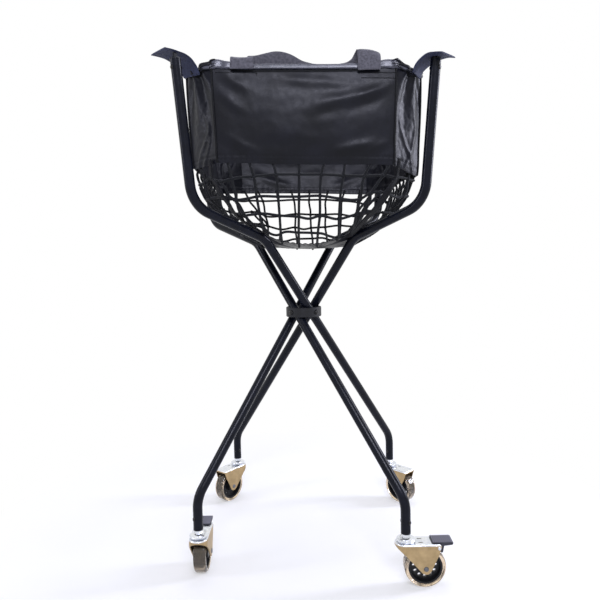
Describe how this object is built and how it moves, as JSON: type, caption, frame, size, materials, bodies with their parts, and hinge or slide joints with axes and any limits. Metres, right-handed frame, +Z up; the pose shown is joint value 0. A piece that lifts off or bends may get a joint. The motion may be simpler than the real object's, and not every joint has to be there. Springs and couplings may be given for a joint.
{
  "type": "ball cart",
  "caption": "Folding ball cart: a cloth and net bag hung from crossed bent tubes that pivot in a ring, on swivel casters, the front ones with pedal brakes.",
  "frame": {"origin": "point on the floor under the cart's centre line, at the centre of its bounding box", "axes": "+Z up, -Y towards the side with the braked casters, +X to the right seen from there"},
  "size_m": [0.5364, 0.5364, 0.955],
  "materials": {
    "black_paint": "satin black powder coat",
    "black_fastener": "black oxide",
    "black_plastic": "moulded, satin",
    "zinc": "bright zinc plate",
    "wheel_plastic": "moulded nylon",
    "tread": "clear cast polyurethane with a warm tint",
    "pedal_plastic": "moulded, ribbed",
    "bag_cloth": "coated polyester, soft sheen",
    "net_rope": "knotted cord",
    "black_webbing": "woven webbing",
    "grey_webbing": "woven webbing"
  },
  "bodies": {
    "hub": {"hub_band": "black_plastic", "pivot_bolts": "black_fastener", "pivot_spacers": "black_plastic", "pivot_nuts": "black_fastener", "bag_body": "bag_cloth", "bag_rim": "bag_cloth", "bag_net": "net_rope", "bag_bottom": "bag_cloth", "corner_webbing": "black_webbing", "corner_straps": "black_webbing", "handle_front": "grey_webbing", "handle_back": "grey_webbing"},
    "leg_front_right": {"leg_tube_front_right": "black_paint", "leg_rivets_front_right": "black_fastener", "top_plug_front_right": "black_plastic", "foot_socket_front_right": "black_plastic", "caster_stem_front_right": "zinc", "stem_nut_front_right": "zinc"},
    "fork_front_right": {"caster_fork_front_right": "zinc", "axle_front_right": "zinc", "pedal_pin_front_right": "zinc"},
    "wheel_front_right": {"wheel_core_front_right": "wheel_plastic", "wheel_tread_front_right": "tread", "wheel_bushes_front_right": "zinc"},
    "pedal_front_right": {"brake_pedal_front_right": "pedal_plastic"},
    "leg_back_right": {"leg_tube_back_right": "black_paint", "leg_rivets_back_right": "black_fastener", "top_plug_back_right": "black_plastic", "foot_socket_back_right": "black_plastic", "caster_stem_back_right": "zinc", "stem_nut_back_right": "zinc"},
    "fork_back_right": {"caster_fork_back_right": "zinc", "axle_back_right": "zinc"},
    "wheel_back_right": {"wheel_core_back_right": "wheel_plastic", "wheel_tread_back_right": "tread", "wheel_bushes_back_right": "zinc"},
    "leg_front_left": {"leg_tube_front_left": "black_paint", "leg_rivets_front_left": "black_fastener", "top_plug_front_left": "black_plastic", "foot_socket_front_left": "black_plastic", "caster_stem_front_left": "zinc", "stem_nut_front_left": "zinc"},
    "fork_front_left": {"caster_fork_front_left": "zinc", "axle_front_left": "zinc", "pedal_pin_front_left": "zinc"},
    "wheel_front_left": {"wheel_core_front_left": "wheel_plastic", "wheel_tread_front_left": "tread", "wheel_bushes_front_left": "zinc"},
    "pedal_front_left": {"brake_pedal_front_left": "pedal_plastic"},
    "leg_back_left": {"leg_tube_back_left": "black_paint", "leg_rivets_back_left": "black_fastener", "top_plug_back_left": "black_plastic", "foot_socket_back_left": "black_plastic", "caster_stem_back_left": "zinc", "stem_nut_back_left": "zinc"},
    "fork_back_left": {"caster_fork_back_left": "zinc", "axle_back_left": "zinc"},
    "wheel_back_left": {"wheel_core_back_left": "wheel_plastic", "wheel_tread_back_left": "tread", "wheel_bushes_back_left": "zinc"}
  },
  "joints": [
    {"name": "fold_front_right", "type": "hinge", "parent": "hub", "child": "leg_front_right", "pos_m": [-0.01506, -0.01506, 0.485], "axis": [0.7071, 0.7071, 0], "range_deg": [0, 20], "deforming": ["bag_body", "bag_rim", "bag_net", "bag_bottom", "corner_webbing", "corner_straps", "handle_front", "handle_back"]},
    {"name": "swivel_front_right", "type": "hinge", "parent": "leg_front_right", "child": "fork_front_right", "pos_m": [0.1755, -0.20563, 0.085], "axis": [0, 0, 1], "continuous": true},
    {"name": "roll_front_right", "type": "hinge", "parent": "fork_front_right", "child": "wheel_front_right", "pos_m": [0.2085, -0.20563, 0.0375], "axis": [0, 1, 0], "continuous": true},
    {"name": "brake_front_right", "type": "hinge", "parent": "fork_front_right", "child": "pedal_front_right", "pos_m": [0.2322, -0.20563, 0.0751], "axis": [0, 1, 0], "range_deg": [0, 12]},
    {"name": "fold_back_right", "type": "hinge", "parent": "hub", "child": "leg_back_right", "pos_m": [0.01506, -0.01506, 0.485], "axis": [-0.7071, 0.7071, 0], "range_deg": [0, 20]},
    {"name": "swivel_back_right", "type": "hinge", "parent": "leg_back_right", "child": "fork_back_right", "pos_m": [0.20563, 0.1755, 0.085], "axis": [0, 0, 1], "continuous": true},
    {"name": "roll_back_right", "type": "hinge", "parent": "fork_back_right", "child": "wheel_back_right", "pos_m": [0.22813, 0.15137, 0.0375], "axis": [0.7314, 0.682, 0], "continuous": true},
    {"name": "fold_front_left", "type": "hinge", "parent": "hub", "child": "leg_front_left", "pos_m": [-0.01506, 0.01506, 0.485], "axis": [0.7071, -0.7071, 0], "range_deg": [0, 20]},
    {"name": "swivel_front_left", "type": "hinge", "parent": "leg_front_left", "child": "fork_front_left", "pos_m": [-0.20563, -0.1755, 0.085], "axis": [0, 0, 1], "continuous": true},
    {"name": "roll_front_left", "type": "hinge", "parent": "fork_front_left", "child": "wheel_front_left", "pos_m": [-0.20563, -0.1425, 0.0375], "axis": [-1, 0, 0], "continuous": true},
    {"name": "brake_front_left", "type": "hinge", "parent": "fork_front_left", "child": "pedal_front_left", "pos_m": [-0.20563, -0.1188, 0.0751], "axis": [-1, 0, 0], "range_deg": [0, 12]},
    {"name": "fold_back_left", "type": "hinge", "parent": "hub", "child": "leg_back_left", "pos_m": [0.01506, 0.01506, 0.485], "axis": [-0.7071, -0.7071, 0], "range_deg": [0, 20]},
    {"name": "swivel_back_left", "type": "hinge", "parent": "leg_back_left", "child": "fork_back_left", "pos_m": [-0.1755, 0.20563, 0.085], "axis": [0, 0, 1], "continuous": true},
    {"name": "roll_back_left", "type": "hinge", "parent": "fork_back_left", "child": "wheel_back_left", "pos_m": [-0.19605, 0.1798, 0.0375], "axis": [0.7826, -0.6225, 0], "continuous": true}
  ],
  "couplings": [
    {"joint": "fold_back_right", "follows": "fold_front_right", "ratio": 1},
    {"joint": "fold_front_left", "follows": "fold_front_right", "ratio": 1},
    {"joint": "fold_back_left", "follows": "fold_front_right", "ratio": 1}
  ]
}
